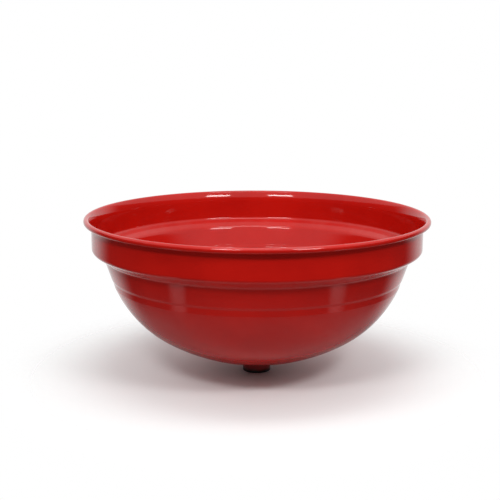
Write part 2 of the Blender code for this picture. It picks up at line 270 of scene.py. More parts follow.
def turned_surface():
    """Geometry Nodes: turns a profile's points, in their order, about Z, and keeps the run along it."""
    tree = node_group("turned_surface", "GeometryNodeTree",
                      {"Profile": "Geometry", "Steps": "Int", "Finish": "Material"},
                      {"Geometry": "Geometry"})
    given = node(tree, "NodeGroupInput").outputs
    size = node(tree, "GeometryNodeAttributeDomainSize", {0: given["Profile"]})
    count = size.outputs["Point Count"]
    rows = calc(tree, "ADD", given["Steps"], 1.0)
    grid = node(tree, "GeometryNodeMeshGrid", {"Vertices X": rows, "Vertices Y": count}).outputs["Mesh"]
    index = node(tree, "GeometryNodeInputIndex").outputs["Index"]
    point = calc(tree, "FLOORED_MODULO", index, count)
    step = calc(tree, "FLOOR", calc(tree, "DIVIDE", index, count))
    angle = calc(tree, "MULTIPLY", calc(tree, "DIVIDE", step, given["Steps"]), 2 * math.pi)
    position = node(tree, "GeometryNodeInputPosition").outputs["Position"]
    on_profile = node(tree, "GeometryNodeSampleIndex",
                      {"Geometry": given["Profile"], "Value": position, "Index": point},
                      data_type="FLOAT_VECTOR").outputs["Value"]
    turned_point = node(tree, "ShaderNodeVectorRotate", {"Vector": on_profile, "Angle": angle},
                        rotation_type="Z_AXIS").outputs["Vector"]
    run = node(tree, "GeometryNodeInputNamedAttribute", {"Name": "run"}, data_type="FLOAT")
    run_here = node(tree, "GeometryNodeSampleIndex",
                    {"Geometry": given["Profile"], "Value": run.outputs["Attribute"], "Index": point},
                    data_type="FLOAT").outputs["Value"]
    shaped = node(tree, "GeometryNodeSetPosition", {"Geometry": grid, "Position": turned_point})
    stored = node(tree, "GeometryNodeStoreNamedAttribute",
                  {"Geometry": shaped.outputs[0], "Name": "run", "Value": run_here},
                  data_type="FLOAT", domain="POINT").outputs[0]
    merged = node(tree, "GeometryNodeMergeByDistance", {"Geometry": stored, "Distance": WELD_DISTANCE})
    return finished(tree, merged.outputs[0], given["Finish"])


def socket_of(tree, name):
    """The identifier of a node group's input, which a modifier's values are set by."""
    for item in tree.interface.items_tree:
        if item.item_type == "SOCKET" and item.in_out == "INPUT" and item.name == name:
            return item.identifier


def add_nodes(piece, tree, **values):
    """A Geometry Nodes modifier; values name the group's inputs, with _ for a space."""
    modifier = piece.modifiers.new(tree.name, "NODES")
    modifier.node_group = tree
    for name, value in values.items():
        modifier[socket_of(tree, name.replace("_", " ").capitalize())] = value


def turned(name, profile, finish, steps, closed=True):
    """A piece turned about Z. A closed profile is a ring's section; an open one has its ends on Z."""
    mesh = bpy.data.meshes.new(name)
    points = profile + profile[:1] if closed else profile
    mesh.from_pydata([(radius, 0.0, height) for radius, height in points], [], [])
    runs = [0.0]
    for before, after in zip(points, points[1:]):
        runs.append(runs[-1] + math.dist(before, after))
    mesh.attributes.new("run", "FLOAT", "POINT").data.foreach_set("value", runs)
    piece = bpy.data.objects.new(name, mesh)
    bpy.context.scene.collection.objects.link(piece)
    add_nodes(piece, turned_tree, steps=steps, finish=finish)
    return piece


def make_mesh(piece, sharp=40.0):
    """Makes the piece's modifiers its mesh, faces outward, smooth but for edges over sharp degrees."""
    bpy.context.view_layer.update()
    depsgraph = bpy.context.evaluated_depsgraph_get()
    made = bpy.data.meshes.new_from_object(piece.evaluated_get(depsgraph))
    piece.modifiers.clear()
    old = piece.data
    piece.data = made
    bpy.data.meshes.remove(old)
    finish = next(material for material in made.materials if material)
    build = bmesh.new()
    build.from_mesh(made)
    bmesh.ops.recalc_face_normals(build, faces=build.faces)
    for face in build.faces:
        face.material_index = 0
    build.to_mesh(made)
    build.free()
    made.materials.clear()
    made.materials.append(finish)
    made.name = piece.name
    made.shade_smooth()
    made.set_sharp_from_angle(angle=math.radians(sharp))


def dress(piece, body):
    """The finished piece rides on its body and stands for the CAD node of the same name."""
    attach(piece, body)
    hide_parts(piece.name.removesuffix("_look"))


def scaled(tree, vector, factor):
    """A vector times a number."""
    return node(tree, "ShaderNodeVectorMath", {0: vector, "Scale": factor},
                operation="SCALE").outputs["Vector"]


def spin_marks():
    """Faint rings left by the roller or the lathe tool, long round the piece and fine along it."""
    tree = node_group("spin_marks", "ShaderNodeTree", {"Spacing": "Float", "Length": "Float"},
                      {"Height": "Float", "Streak": "Float"})
    given = node(tree, "NodeGroupInput").outputs
    place = node(tree, "ShaderNodeTexCoord").outputs["Object"]
    around = vector_calc(tree, "NORMALIZE", vector_calc(tree, "MULTIPLY", place, (1.0, 1.0, 0.0)))
    run = node(tree, "ShaderNodeAttribute", attribute_name="run").outputs["Fac"]
    across = calc(tree, "DIVIDE", run, given["Spacing"])
    lift = node(tree, "ShaderNodeCombineXYZ", {"Z": across}).outputs[0]
    where = vector_calc(tree, "ADD", scaled(tree, around, given["Length"]), lift)
    fine = noise(tree, where, scale=1.0, detail=4.0, roughness=0.6)
    broad = noise(tree, where, scale=0.28, detail=2.0)
    streak = smooth_step(tree, broad, 0.35, 0.70)
    node(tree, "NodeGroupOutput", {"Height": fine, "Streak": streak})
    return tree


def tone():
    """Slow drift between two close shades, as a coat or casting has from place to place."""
    tree = node_group("tone", "ShaderNodeTree",
                      {"Light Shade": "Color", "Deep Shade": "Color", "Scale": "Float"},
                      {"Color": "Color", "Mask": "Float"})
    given = node(tree, "NodeGroupInput").outputs
    place = node(tree, "ShaderNodeTexCoord").outputs["Object"]
    mask = smooth_step(tree, noise(tree, place, given["Scale"], detail=5.0, roughness=0.55), 0.30, 0.72)
    color = blended(tree, mask, given["Light Shade"], given["Deep Shade"])
    node(tree, "NodeGroupOutput", {"Color": color, "Mask": mask})
    return tree


def dust():
    """Thin settled dust: a film and specks, on faces that look up."""
    tree = node_group("dust", "ShaderNodeTree", {"Amount": "Float", "Speck Scale": "Float"},
                      {"Mask": "Float"})
    given = node(tree, "NodeGroupInput").outputs
    place = node(tree, "ShaderNodeTexCoord").outputs["Object"]
    normal = node(tree, "ShaderNodeNewGeometry").outputs["Normal"]
    upward = smooth_step(tree, node(tree, "ShaderNodeSeparateXYZ", {0: normal}).outputs["Z"], 0.1, 0.95)
    film = smooth_step(tree, noise(tree, place, scale=35.0, detail=6.0), 0.42, 0.80, 0.0, 0.35)
    specks = node(tree, "ShaderNodeTexVoronoi", {"Vector": place, "Scale": given["Speck Scale"]})
    dots = smooth_step(tree, specks.outputs["Distance"], 0.10, 0.16, 1.0, 0.0)
    settled = calc(tree, "MULTIPLY", calc(tree, "MAXIMUM", dots, film), upward)
    node(tree, "NodeGroupOutput", {"Mask": calc(tree, "MULTIPLY", settled, given["Amount"])})
    return tree


def grouped(tree, group, **values):
    """Places a shader group in a material; values name its inputs, with _ for a space."""
    made = node(tree, "ShaderNodeGroup", node_tree=group)
    for name, value in values.items():
        made.inputs[name.replace("_", " ").title()].default_value = value
    return made.outputs


def bumped(tree, shader, height, depth):
    """Feeds a height, worth depth metres at 1, to the shader's normal."""
    bump = node(tree, "ShaderNodeBump", {"Height": height, "Distance": depth, "Strength": 1.0})
    tree.links.new(bump.outputs["Normal"], shader.inputs["Normal"])


def toned(tree, shader, light_shade, deep_shade, scale, dust_shade, dust_amount, speck_scale):
    """Colours the shader with the tone and dust groups, and returns the tone's mask."""
    shade = grouped(tree, tone_group, light_shade=light_shade, deep_shade=deep_shade, scale=scale)
    dusty = grouped(tree, dust_group, amount=dust_amount, speck_scale=speck_scale)
    colour = blended(tree, dusty["Mask"], shade["Color"], dust_shade)
    tree.links.new(colour, shader.inputs["Base Color"])
    return shade["Mask"]


turned_tree = turned_surface()
spin_group = spin_marks()
tone_group = tone()
dust_group = dust()

red_enamel, tree, shader = new_material("red_enamel")
shader.inputs["Specular IOR Level"].default_value = 0.0
shader.inputs["Coat Weight"].default_value = 1.0
shader.inputs["Coat Roughness"].default_value = 0.06
shader.inputs["Coat IOR"].default_value = 1.42
marks = grouped(tree, spin_group, spacing=3.0 * MM, length=4.0)
toned(tree, shader, (0.47, 0.0075, 0.0040, 1), (0.41, 0.0060, 0.0035, 1), scale=14.0,
      dust_shade=(0.45, 0.40, 0.36, 1), dust_amount=0.10, speck_scale=700.0)
tree.links.new(smooth_step(tree, marks["Streak"], 0.0, 1.0, 0.26, 0.34), shader.inputs["Roughness"])
peel = noise(tree, node(tree, "ShaderNodeTexCoord").outputs["Object"], scale=420.0, detail=1.0)
bumped(tree, shader, calc(tree, "MULTIPLY_ADD", peel, 0.25, marks["Height"]), depth=0.007 * MM)

SHEET = 1.0 * MM
RIM_RADIUS = 220.2 * MM
BEAD_RADIUS = 3.5 * MM
CURL_RADIUS = BEAD_RADIUS - SHEET
BEAD_CENTRE = (RIM_RADIUS - BEAD_RADIUS, 202.78 * MM)
COLLAR_RADIUS = 210.7 * MM
FLARE_RADIUS = 25.5 * MM
CURL_OPENING = 30.0
SHOULDER_CORNER = (COLLAR_RADIUS, 165.88 * MM)
WALL_TOP = (195.7 * MM, 155.88 * MM)
WALL_END = (187.12 * MM, 130.68 * MM)
LAND_TOP = (185.32 * MM, 127.28 * MM)
LAND_END = (183.28 * MM, 119.68 * MM)
MOUTH = (182.41 * MM, 117.66 * MM)
MOUTH_ANGLE = 66.7
CROWN_RADIUS = 240.42 * MM
KNUCKLE_RADIUS = 143.74 * MM
TANGENT_ANGLE = 31.42
SEAT_RADIUS = 24.0 * MM
SEAT_HEIGHT = 17.8 * MM
OUTLET_HOLE = 13.6 * MM

flare_reach = FLARE_RADIUS - CURL_RADIUS
flare_middle = COLLAR_RADIUS + FLARE_RADIUS
flare_angle = math.degrees(math.acos((flare_middle - BEAD_CENTRE[0]) / flare_reach))
flare_start = BEAD_CENTRE[1] - flare_reach * math.sin(math.radians(flare_angle))
outer_face = arc(BEAD_CENTRE, CURL_RADIUS, -180.0 + CURL_OPENING, 180.0 - flare_angle, count=30)
outer_face += arc((flare_middle, flare_start), FLARE_RADIUS, 180.0 - flare_angle, 180.0, count=12)[1:]
outer_face += rounded([
    (COLLAR_RADIUS, flare_start, 0.0),
    (*SHOULDER_CORNER, 5.5 * MM),
    (*WALL_TOP, 6.3 * MM),
    (*WALL_END, 1.8 * MM),
    (*LAND_TOP, 1.8 * MM),
    (*LAND_END, 1.8 * MM),
    (*MOUTH, 0.0),
], count=8)[1:-1]
knuckle_turn = math.radians(MOUTH_ANGLE)
knuckle_centre = (MOUTH[0] - KNUCKLE_RADIUS * math.sin(knuckle_turn),
                  MOUTH[1] + KNUCKLE_RADIUS * math.cos(knuckle_turn))
outer_face += arc(knuckle_centre, KNUCKLE_RADIUS, MOUTH_ANGLE - 90.0, TANGENT_ANGLE - 90.0, count=26)
crown_end = math.degrees(math.asin(SEAT_RADIUS / CROWN_RADIUS))
crown_centre = (0.0, SEAT_HEIGHT + CROWN_RADIUS * math.cos(math.radians(crown_end)))
outer_face += arc(crown_centre, CROWN_RADIUS, TANGENT_ANGLE - 90.0, crown_end - 90.0, count=30)[1:]
outer_face.append((OUTLET_HOLE, SEAT_HEIGHT))
outer_face = spaced(outer_face, gap=4.0 * MM)
inner_face = []
for place, point in enumerate(outer_face):
    before = Vector(outer_face[max(place - 1, 0)])
    after = Vector(outer_face[min(place + 1, len(outer_face) - 1)])
    along = (after - before).normalized()
    inner_face.append((point[0] + SHEET * along.y, point[1] - SHEET * along.x))
bowl = turned("bowl_shell_look", outer_face + inner_face[::-1], red_enamel, steps=256)
make_mesh(bowl, sharp=50.0)
dress(bowl, "bowl")


# --------------------------------------------------------------------------------------------------
# rim_wire. Drawn steel wire ring, bare, that the rim's curl is rolled around. It shows only in the
# curl's gap, from below.
WIRE_RADIUS = 2.2 * MM
drawn_wire, tree, shader = new_material("drawn_wire")
shader.inputs["Metallic"].default_value = 1.0
marks = grouped(tree, spin_group, spacing=0.4 * MM, length=9.0)
drawn_shade = blended(tree, marks["Streak"], (0.55, 0.55, 0.56, 1), (0.40, 0.39, 0.38, 1))
tree.links.new(drawn_shade, shader.inputs["Base Color"])
tree.links.new(smooth_step(tree, marks["Streak"], 0.0, 1.0, 0.28, 0.45), shader.inputs["Roughness"])
bumped(tree, shader, marks["Height"], depth=0.004 * MM)
wire_section = arc(BEAD_CENTRE, WIRE_RADIUS, 0.0, -360.0, count=20)[:-1]
wire = turned("rim_wire_look", wire_section, drawn_wire, steps=192)
make_mesh(wire)
dress(wire, "bowl")


# --------------------------------------------------------------------------------------------------
# drain_spigot. Turned steel, bright zinc plated: a flange inside the bowl, and a shank with a pipe
# thread outside, clamped through the hole by the lock nut. Its bore is drawn plain.
FACE_TOLERANCE = 0.02 * MM


def polar(tree):
    """Each point's height, distance from Z, direction away from Z, and angle about Z."""
    position = node(tree, "GeometryNodeInputPosition").outputs["Position"]
    axes = node(tree, "ShaderNodeSeparateXYZ", {0: position}).outputs
    level = vector_calc(tree, "MULTIPLY", position, (1.0, 1.0, 0.0))
    angle = calc(tree, "ARCTAN2", axes["Y"], axes["X"])
    return axes["Z"], vector_calc(tree, "LENGTH", level), vector_calc(tree, "NORMALIZE", level), angle


def pressed_in(tree, given, chosen, outward, cut):
    """Ends a geometry group that presses the chosen points in by cut times the group's depth."""
    push = calc(tree, "MULTIPLY", calc(tree, "MULTIPLY", cut, given["Depth"]), -1.0)
    inputs = {"Geometry": given["Piece"], "Selection": chosen, "Offset": scaled(tree, outward, push)}
    shaped = node(tree, "GeometryNodeSetPosition", inputs)
    return finished(tree, shaped.outputs[0], given["Finish"])


def helical_thread():
    """Geometry Nodes: presses a rounded helical thread into a turned face of that radius, from bottom
    to top, fading out over one pitch at each end."""
    tree = node_group("helical_thread", "GeometryNodeTree",
                      {"Piece": "Geometry", "Finish": "Material", "Pitch": "Float", "Depth": "Float",
                       "Radius": "Float", "Bottom": "Float", "Top": "Float"},
                      {"Geometry": "Geometry"})
    given = node(tree, "NodeGroupInput").outputs
    height, radius, outward, angle = polar(tree)
    share = calc(tree, "DIVIDE", angle, 2 * math.pi)
    phase = calc(tree, "SUBTRACT", calc(tree, "DIVIDE", height, given["Pitch"]), share)
    swing = calc(tree, "COSINE", calc(tree, "MULTIPLY", phase, 2 * math.pi))
    wave = calc(tree, "MULTIPLY_ADD", swing, 0.5, 0.5)
    first = calc(tree, "ADD", given["Bottom"], given["Pitch"])
    last = calc(tree, "SUBTRACT", given["Top"], given["Pitch"])
    rise = node(tree, "ShaderNodeMapRange",
                {"Value": height, "From Min": given["Bottom"], "From Max": first})
    fall = node(tree, "ShaderNodeMapRange",
                {"Value": height, "From Min": given["Top"], "From Max": last})
    band = calc(tree, "MULTIPLY", rise.outputs["Result"], fall.outputs["Result"])
    on_face = node(tree, "FunctionNodeCompare", {0: radius, 1: given["Radius"], "Epsilon": FACE_TOLERANCE},
                   data_type="FLOAT", operation="EQUAL").outputs["Result"]
    return pressed_in(tree, given, on_face, outward, calc(tree, "MULTIPLY", wave, band))


thread_tree = helical_thread()

zinc_plate, tree, shader = new_material("zinc_plate")
shader.inputs["Metallic"].default_value = 1.0
cloud = toned(tree, shader, (0.58, 0.59, 0.58, 1), (0.40, 0.42, 0.43, 1), scale=90.0,
              dust_shade=(0.30, 0.28, 0.25, 1), dust_amount=0.25, speck_scale=900.0)
tree.links.new(smooth_step(tree, cloud, 0.0, 1.0, 0.26, 0.42), shader.inputs["Roughness"])
marks = grouped(tree, spin_group, spacing=0.5 * MM, length=8.0)
bumped(tree, shader, marks["Height"], depth=0.006 * MM)

SHANK_RADIUS = 13.2 * MM
FLANGE_RADIUS = 22.0 * MM
FLANGE_BOTTOM = 20.9 * MM
FLANGE_TOP = 23.4 * MM
SHANK_END = 5.2 * MM
BORE_RADIUS = 9.0 * MM
PIPE_PITCH = 1.81 * MM
PIPE_THREAD_DEPTH = 0.9 * MM
spigot = turned("drain_spigot_look", spaced(rounded([
    (BORE_RADIUS, 0.5 * (SHANK_END + FLANGE_TOP), 0.0),
    (BORE_RADIUS, FLANGE_TOP, 0.6 * MM),
    (FLANGE_RADIUS, FLANGE_TOP, 0.8 * MM),
    (FLANGE_RADIUS, FLANGE_BOTTOM, 0.3 * MM),
    (SHANK_RADIUS, FLANGE_BOTTOM, 0.0),
    (SHANK_RADIUS, SHANK_END, 0.5 * MM),
    (BORE_RADIUS, SHANK_END, 0.3 * MM),
    (BORE_RADIUS, 0.4 * (SHANK_END + FLANGE_TOP), 0.0),
], count=4), gap=0.15 * MM), zinc_plate, steps=96)
add_nodes(spigot, thread_tree, finish=zinc_plate, pitch=PIPE_PITCH, depth=PIPE_THREAD_DEPTH,
          radius=SHANK_RADIUS, bottom=SHANK_END + 0.6 * MM, top=FLANGE_BOTTOM - 2.5 * MM)
make_mesh(spigot, sharp=28.0)
dress(spigot, "bowl")


# --------------------------------------------------------------------------------------------------
# flange_gasket and clamp_washer. A moulded rubber ring between the flange and the bowl's floor, and a
# stamped vulcanised fibre ring between the bowl's underside and the nut, both held by the nut's clamp.
def matt_material(name, light_shade, deep_shade, scale, roughness, depth):
    """A dull material with a mottled tone and a fine grain of that depth."""
    made, tree, shader = new_material(name)
    cloud = toned(tree, shader, light_shade, deep_shade, scale,
                  dust_shade=(0.30, 0.27, 0.24, 1), dust_amount=0.30, speck_scale=900.0)
    tree.links.new(smooth_step(tree, cloud, 0.0, 1.0, roughness - 0.06, roughness + 0.06),
                   shader.inputs["Roughness"])
    place = node(tree, "ShaderNodeTexCoord").outputs["Object"]
    bumped(tree, shader, noise(tree, place, scale=2500.0, detail=3.0), depth)
    return made


def flat_ring(bore, radius, bottom, top, fillets, count=4):
    """A flat ring's section, its fillets at bore and edge on top, then at edge and bore below."""
    seam = (bore, 0.5 * (bottom + top), 0.0)
    corners = [(bore, top), (radius, top), (radius, bottom), (bore, bottom)]
    filleted = [(*corner, fillet) for corner, fillet in zip(corners, fillets)]
    return rounded([seam, *filleted, seam], count)[:-1]


moulded_rubber = matt_material("moulded_rubber", (0.030, 0.030, 0.031, 1), (0.016, 0.016, 0.017, 1),
                               scale=60.0, roughness=0.60, depth=0.015 * MM)
GASKET_BOTTOM = 19.1 * MM
GASKET_TOP = 20.6 * MM
gasket = turned("flange_gasket_look",
                flat_ring(OUTLET_HOLE, FLANGE_RADIUS, GASKET_BOTTOM, GASKET_TOP,
                          (0.2 * MM, 0.5 * MM, 0.5 * MM, 0.2 * MM)), moulded_rubber, steps=96)
make_mesh(gasket)
dress(gasket, "bowl")

stamped_fibre = matt_material("stamped_fibre", (0.16, 0.050, 0.032, 1), (0.080, 0.024, 0.018, 1),
                              scale=220.0, roughness=0.68, depth=0.020 * MM)
WASHER_BOTTOM = 16.2 * MM
WASHER_TOP = 17.5 * MM
WASHER_RADIUS = 17.35 * MM
washer = turned("clamp_washer_look",
                flat_ring(OUTLET_HOLE, WASHER_RADIUS, WASHER_BOTTOM, WASHER_TOP,
                          (0.1 * MM, 0.25 * MM, 0.10 * MM, 0.1 * MM)), stamped_fibre, steps=96)
make_mesh(washer)
dress(washer, "bowl")


# --------------------------------------------------------------------------------------------------
# lock_nut. Round turned steel nut, gloss black, turning red round its top with painted red light from the
# bowl above, screwed on the spigot; four pin-spanner holes are drilled in the face that the bowl stands on.
# Height band, ragged edge and strength of the painted red light from the bowl on the nut's top.
PAINTED_BOUNCE_SCATTER = 4.0 * MM
PAINTED_BOUNCE_EDGE = (4.0 * MM, 9.5 * MM)
PAINTED_BOUNCE_COVER = 0.95
nut_black, tree, shader = new_material("nut_black")
shader.inputs["Coat Weight"].default_value = 0.6
shader.inputs["Coat Roughness"].default_value = 0.12
shade = grouped(tree, tone_group, light_shade=(0.022, 0.020, 0.020, 1),
                deep_shade=(0.012, 0.012, 0.012, 1), scale=160.0)
place = node(tree, "ShaderNodeTexCoord").outputs["Object"]
height = node(tree, "ShaderNodeSeparateXYZ", {0: place}).outputs["Z"]
# The nut turns red towards its top: painted red light bounced and reflected from the bowl above, not paint.
uneven = calc(tree, "MULTIPLY_ADD", noise(tree, place, scale=320.0, detail=4.0), PAINTED_BOUNCE_SCATTER, height)
painted_bounce = smooth_step(tree, uneven, *PAINTED_BOUNCE_EDGE, 0.0, PAINTED_BOUNCE_COVER)
painted_bounce_colour = blended(tree, painted_bounce, shade["Color"], (0.45, 0.012, 0.010, 1))
tree.links.new(painted_bounce_colour, shader.inputs["Base Color"])
tree.links.new(smooth_step(tree, shade["Mask"], 0.0, 1.0, 0.30, 0.42), shader.inputs["Roughness"])
marks = grouped(tree, spin_group, spacing=0.6 * MM, length=7.0)
bumped(tree, shader, marks["Height"], depth=0.004 * MM)

NUT_RADIUS = 17.95 * MM
NUT_BORE = 13.5 * MM
NUT_HEIGHT = 15.9 * MM
PIN_CIRCLE = 15.725 * MM
PIN_RADIUS = 1.2 * MM
PIN_DEPTH = 4.0 * MM


def cutter(name, build):
    """Turns a bmesh into a cutting tool."""
    mesh = bpy.data.meshes.new(name)
    build.to_mesh(mesh)
    build.free()
    made = bpy.data.objects.new(name, mesh)
    bpy.context.scene.collection.objects.link(made)
    return made


def cut_away(piece, tool):
    """Cuts the tool out of the piece when its mesh is made."""
    boolean = piece.modifiers.new("cut", "BOOLEAN")
    boolean.operation = "DIFFERENCE"
    boolean.solver = "EXACT"
    boolean.object = tool


nut = turned("lock_nut_look", spaced(rounded([
    (NUT_BORE, 0.5 * NUT_HEIGHT, 0.0),
    (NUT_BORE, NUT_HEIGHT, 0.4 * MM),
    (NUT_RADIUS, NUT_HEIGHT, 0.6 * MM),
    (NUT_RADIUS, 0.0, 1.2 * MM),
    (NUT_BORE, 0.0, 0.4 * MM),
    (NUT_BORE, 0.4 * NUT_HEIGHT, 0.0),
], count=5), gap=0.8 * MM), nut_black, steps=96)
build = bmesh.new()
for quarter in range(4):
    azimuth = math.radians(45.0 + 90.0 * quarter)
    pin_place = Matrix.Translation((PIN_CIRCLE * math.cos(azimuth), PIN_CIRCLE * math.sin(azimuth), 0.0))
    bmesh.ops.create_cone(build, cap_ends=True, segments=32, radius1=PIN_RADIUS, radius2=PIN_RADIUS,
                          depth=2 * PIN_DEPTH, matrix=pin_place)
pin_drill = cutter("pin_drill", build)
cut_away(nut, pin_drill)
make_mesh(nut, sharp=32.0)
bpy.data.objects.remove(pin_drill)
dress(nut, "bowl")


# --------------------------------------------------------------------------------------------------
# drain_plug. Turned zinc plated steel screw plug that closes the spigot from below. Its head, with a
# chamfered hexagon socket, sits just inside the nut's face.
PLUG_RADIUS = 8.7 * MM
PLUG_HEAD_RADIUS = 12.2 * MM
PLUG_FACE = 0.4 * MM
PLUG_SHOULDER = 3.4 * MM
PLUG_TOP = 13.4 * MM
HEX_SIZE = 10.0 * MM
HEX_DEPTH = 7.0 * MM
PLUG_PITCH = 1.5 * MM
PLUG_THREAD_DEPTH = 0.8 * MM
CHAMFER_DEPTH = 1.0 * MM
plug = turned("drain_plug_look", spaced(rounded([
    (0.0, PLUG_TOP, 0.0),
    (PLUG_RADIUS, PLUG_TOP, 0.6 * MM),
    (PLUG_RADIUS, PLUG_SHOULDER, 0.0),
    (PLUG_HEAD_RADIUS, PLUG_SHOULDER, 0.3 * MM),
    (PLUG_HEAD_RADIUS, PLUG_FACE, 0.5 * MM),
    (0.0, PLUG_FACE, 0.0),
], count=4), gap=0.125 * MM), zinc_plate, steps=96, closed=False)
add_nodes(plug, thread_tree, finish=zinc_plate, pitch=PLUG_PITCH, depth=PLUG_THREAD_DEPTH,
          radius=PLUG_RADIUS, bottom=PLUG_SHOULDER + 0.4 * MM, top=PLUG_TOP - 0.4 * MM)
plug_place = Matrix.Translation((0.0, 0.0, PLUG_FACE))
build = bmesh.new()
bmesh.ops.create_cone(build, cap_ends=True, segments=6, radius1=HEX_SIZE / math.sqrt(3),
                      radius2=HEX_SIZE / math.sqrt(3), depth=2 * HEX_DEPTH, matrix=plug_place)
hex_tool = cutter("hex_tool", build)
build = bmesh.new()
bmesh.ops.create_cone(build, cap_ends=True, segments=48, radius1=0.68 * HEX_SIZE,
                      radius2=0.48 * HEX_SIZE, depth=2 * CHAMFER_DEPTH, matrix=plug_place)
chamfer_tool = cutter("chamfer_tool", build)
cut_away(plug, hex_tool)
cut_away(plug, chamfer_tool)
make_mesh(plug, sharp=28.0)
bpy.data.objects.remove(hex_tool)
bpy.data.objects.remove(chamfer_tool)
dress(plug, "plug")


# --------------------------------------------------------------------------------------------------
# plug_seal. Moulded rubber ring, nipped between the plug's head and the end of the spigot. It comes
# out with the plug.
SEAL_BORE = 9.0 * MM
SEAL_BOTTOM = 3.7 * MM
SEAL_TOP = 4.9 * MM
seal = turned("plug_seal_look",
              flat_ring(SEAL_BORE, PLUG_HEAD_RADIUS, SEAL_BOTTOM, SEAL_TOP,
                        (0.3 * MM, 0.4 * MM, 0.4 * MM, 0.3 * MM), count=5), moulded_rubber, steps=72)
make_mesh(seal)
dress(seal, "plug")


# --------------------------------------------------------------------------------------------------
# strainer_plate. Zinc plated sheet, drawn down into a skirt at its edge and punched with staggered holes,
# which stands loose in the dish.
def punch_pattern():
    """Geometry Nodes: copies a punch onto staggered rows inside a ring, ready to be cut out of a plate."""
    tree = node_group("punch_pattern", "GeometryNodeTree",
                      {"Punch": "Geometry", "Rows": "Int", "Finish": "Material", "Pitch": "Float",
                       "Inner limit": "Float", "Outer limit": "Float"},
                      {"Geometry": "Geometry"})
    given = node(tree, "NodeGroupInput").outputs
    total = calc(tree, "MULTIPLY", given["Rows"], given["Rows"])
    points = node(tree, "GeometryNodeMeshLine", {"Count": total}).outputs["Mesh"]
    index = node(tree, "GeometryNodeInputIndex").outputs["Index"]
    column = calc(tree, "FLOORED_MODULO", index, given["Rows"])
    row = calc(tree, "FLOOR", calc(tree, "DIVIDE", index, given["Rows"]))
    middle = calc(tree, "MULTIPLY", calc(tree, "SUBTRACT", given["Rows"], 1.0), 0.5)
    row_from_middle = calc(tree, "SUBTRACT", row, middle)
    column_from_middle = calc(tree, "SUBTRACT", column, middle)
    staggered = calc(tree, "MULTIPLY_ADD", row_from_middle, 0.5, column_from_middle)
    across = calc(tree, "MULTIPLY", staggered, given["Pitch"])
    row_spacing = calc(tree, "MULTIPLY", given["Pitch"], math.sqrt(0.75))
    along = calc(tree, "MULTIPLY", row_from_middle, row_spacing)
    place = node(tree, "ShaderNodeCombineXYZ", {"X": across, "Y": along}).outputs[0]
    reach = vector_calc(tree, "LENGTH", place)
    near = node(tree, "FunctionNodeCompare", {0: reach, 1: given["Inner limit"]}, operation="LESS_THAN")
    far = node(tree, "FunctionNodeCompare", {0: reach, 1: given["Outer limit"]}, operation="GREATER_THAN")
    outside = node(tree, "FunctionNodeBooleanMath", {0: near.outputs[0], 1: far.outputs[0]}, operation="OR")
    spread = node(tree, "GeometryNodeSetPosition", {"Geometry": points, "Position": place}).outputs[0]
    kept = node(tree, "GeometryNodeDeleteGeometry", {"Geometry": spread, "Selection": outside.outputs[0]},
                domain="POINT").outputs[0]
    copies = node(tree, "GeometryNodeInstanceOnPoints", {"Points": kept, "Instance": given["Punch"]})
    return finished(tree, copies.outputs[0], given["Finish"])


STRAINER_RADIUS = 70.0 * MM
STRAINER_FILLET = 2.5 * MM
PLATE = 1.2 * MM
SCREW_HOLE = 2.8 * MM
PUNCH_RADIUS = 3.5 * MM
PUNCH_PITCH = 14.0 * MM
PUNCH_MARGIN = 5.0 * MM
PUNCH_ROLL = 0.45 * MM
PUNCH_OVERLAP = 1.0 * MM
KNOB_FOOT = 9.0 * MM
strainer_low, strainer_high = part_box("strainer_plate")
STRAINER_SEAT = strainer_low.z
STRAINER_TOP = strainer_high.z
PLATE_UNDERSIDE = STRAINER_TOP - PLATE
strainer = turned("strainer_plate_look", spaced(rounded([
    (SCREW_HOLE, 0.5 * (STRAINER_TOP + PLATE_UNDERSIDE), 0.0),
    (SCREW_HOLE, STRAINER_TOP, 0.15 * MM),
    (STRAINER_RADIUS, STRAINER_TOP, STRAINER_FILLET),
    (STRAINER_RADIUS, STRAINER_SEAT, 0.3 * MM),
    (STRAINER_RADIUS - PLATE, STRAINER_SEAT, 0.3 * MM),
    (STRAINER_RADIUS - PLATE, PLATE_UNDERSIDE, STRAINER_FILLET - PLATE),
    (SCREW_HOLE, PLATE_UNDERSIDE, 0.15 * MM),
    (SCREW_HOLE, 0.4 * STRAINER_TOP + 0.6 * PLATE_UNDERSIDE, 0.0),
], count=6), gap=6.0 * MM), zinc_plate, steps=128)
punch = turned("punches", rounded([
    (0.0, STRAINER_TOP + PUNCH_OVERLAP, 0.0),
    (PUNCH_RADIUS + PUNCH_ROLL, STRAINER_TOP + PUNCH_OVERLAP, 0.0),
    (PUNCH_RADIUS + PUNCH_ROLL, STRAINER_TOP, 0.0),
    (PUNCH_RADIUS, STRAINER_TOP - 0.40 * MM, 0.5 * MM),
    (PUNCH_RADIUS, PLATE_UNDERSIDE - PUNCH_OVERLAP, 0.0),
    (0.0, PLATE_UNDERSIDE - PUNCH_OVERLAP, 0.0),
], count=4), zinc_plate, steps=24, closed=False)
add_nodes(punch, punch_pattern(), finish=zinc_plate, rows=13, pitch=PUNCH_PITCH,
          inner_limit=KNOB_FOOT + PUNCH_MARGIN + PUNCH_RADIUS,
          outer_limit=STRAINER_RADIUS - STRAINER_FILLET - PUNCH_MARGIN - PUNCH_RADIUS)
make_mesh(punch)
cut_away(strainer, punch)
make_mesh(strainer, sharp=30.0)
bpy.data.objects.remove(punch)
dress(strainer, "strainer")


